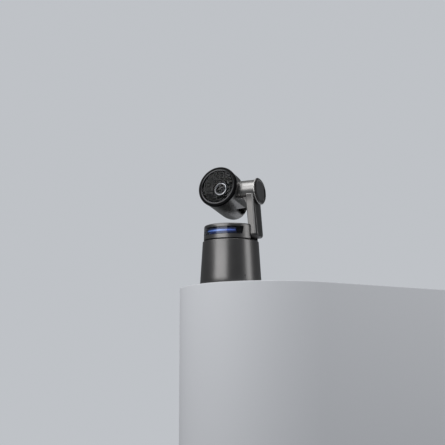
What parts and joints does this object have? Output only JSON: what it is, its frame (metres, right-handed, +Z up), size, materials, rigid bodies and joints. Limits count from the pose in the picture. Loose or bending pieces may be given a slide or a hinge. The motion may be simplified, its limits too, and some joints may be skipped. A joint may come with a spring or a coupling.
{
  "type": "webcam",
  "caption": "Two-axis motorised desk webcam: a round camera head tilts on one side arm, whose turret pans on a tapered base",
  "frame": {"origin": "mouth of the tripod thread, on the pan axis, in the plane that the rubber foot stands on", "axes": "+Z up along the pan axis, -Y is the front that the camera faces at rest, +X is the side of the arm"},
  "size_m": [0.0699, 0.066, 0.1278],
  "materials": {
    "shell_metal": "dark grey satin metallic",
    "arm_metal": "dark grey satin metallic",
    "cover_metal": "dark grey satin metallic, polished edge",
    "rim_metal": "bright turned edge",
    "gloss_black": "polished black",
    "matte_black": "fine matt black",
    "grey_plastic": "moulded grey",
    "rubber_black": "soft black",
    "steel": "machined steel",
    "screw_black": "blackened steel",
    "circuit": "green solder mask",
    "chip_black": "moulded chip",
    "sink_metal": "anodised fins",
    "winding": "enamelled copper wire",
    "magnet": "plated magnet",
    "battery_wrap": "heat-shrunk film",
    "smoked_window": "smoked, polished",
    "light_bar": "milky light guide, lit blue",
    "front_glass": "clear coated glass",
    "lens_glass": "coated lens",
    "trim_metal": "turned ring",
    "sensor_die": "silicon under cover glass"
  },
  "bodies": {
    "base": {"base_shell": "shell_metal", "base_plate": "matte_black", "foot_ring": "rubber_black", "tripod_bush": "steel", "plate_screws": "screw_black", "chassis": "grey_plastic", "deck_screws": "screw_black", "battery_pack": "battery_wrap", "main_board": "circuit", "processor": "chip_black", "heat_sink": "sink_metal", "usb_port": "steel", "card_socket": "steel", "button_switch": "chip_black", "pan_motor_can": "steel", "pan_stator": "steel", "pan_coils": "winding", "pan_race_outer": "steel", "pan_balls": "steel", "swivel_ring": "matte_black"},
    "button": {"power_button": "rim_metal"},
    "turret": {"turret_shell": "shell_metal", "turret_floor": "grey_plastic", "floor_screws": "screw_black", "pan_shaft": "sink_metal", "pan_magnet": "magnet", "pan_race_inner": "steel", "light_window": "smoked_window", "light_guide": "light_bar", "light_board": "circuit", "light_holder": "grey_plastic", "arm_frame": "arm_metal", "tab_screws": "screw_black", "arm_cover": "cover_metal", "cap_flange": "rim_metal", "cap_rim": "shell_metal", "cap_disc": "gloss_black", "tilt_stator": "steel", "tilt_races_outer": "steel", "tilt_balls": "steel"},
    "head": {"tilt_shaft": "steel", "tilt_magnet_ring": "magnet", "tilt_races_inner": "steel", "head_housing": "shell_metal", "rear_cover": "matte_black", "neck_collar": "rim_metal", "front_ring": "gloss_black", "front_glass": "front_glass", "lens_dish": "matte_black", "lens_barrel": "gloss_black", "lens_trim_ring": "trim_metal", "image_sensor": "sensor_die", "sensor_board": "circuit", "lens_frame": "grey_plastic"},
    "focus": {"focus_cell": "matte_black", "front_lens": "lens_glass", "rear_lens": "lens_glass"}
  },
  "joints": [
    {"name": "pan", "type": "hinge", "parent": "base", "child": "turret", "pos_m": [0, 0, 0.0477], "axis": [0, 0, 1], "range_deg": [-150, 150]},
    {"name": "tilt", "type": "hinge", "parent": "turret", "child": "head", "pos_m": [0, 0, 0.1027], "axis": [-1, 0, 0], "range_deg": [-100, 50]},
    {"name": "power_press", "type": "slide", "parent": "base", "child": "button", "axis": [0.9563, -0.2924, 0], "range_m": [0, 0.0004], "stiffness_N_per_m": 900},
    {"name": "focus_slide", "type": "slide", "parent": "head", "child": "focus", "axis": [0, -0.9829, 0.184], "range_m": [-0.0004, 0.0004]}
  ]
}
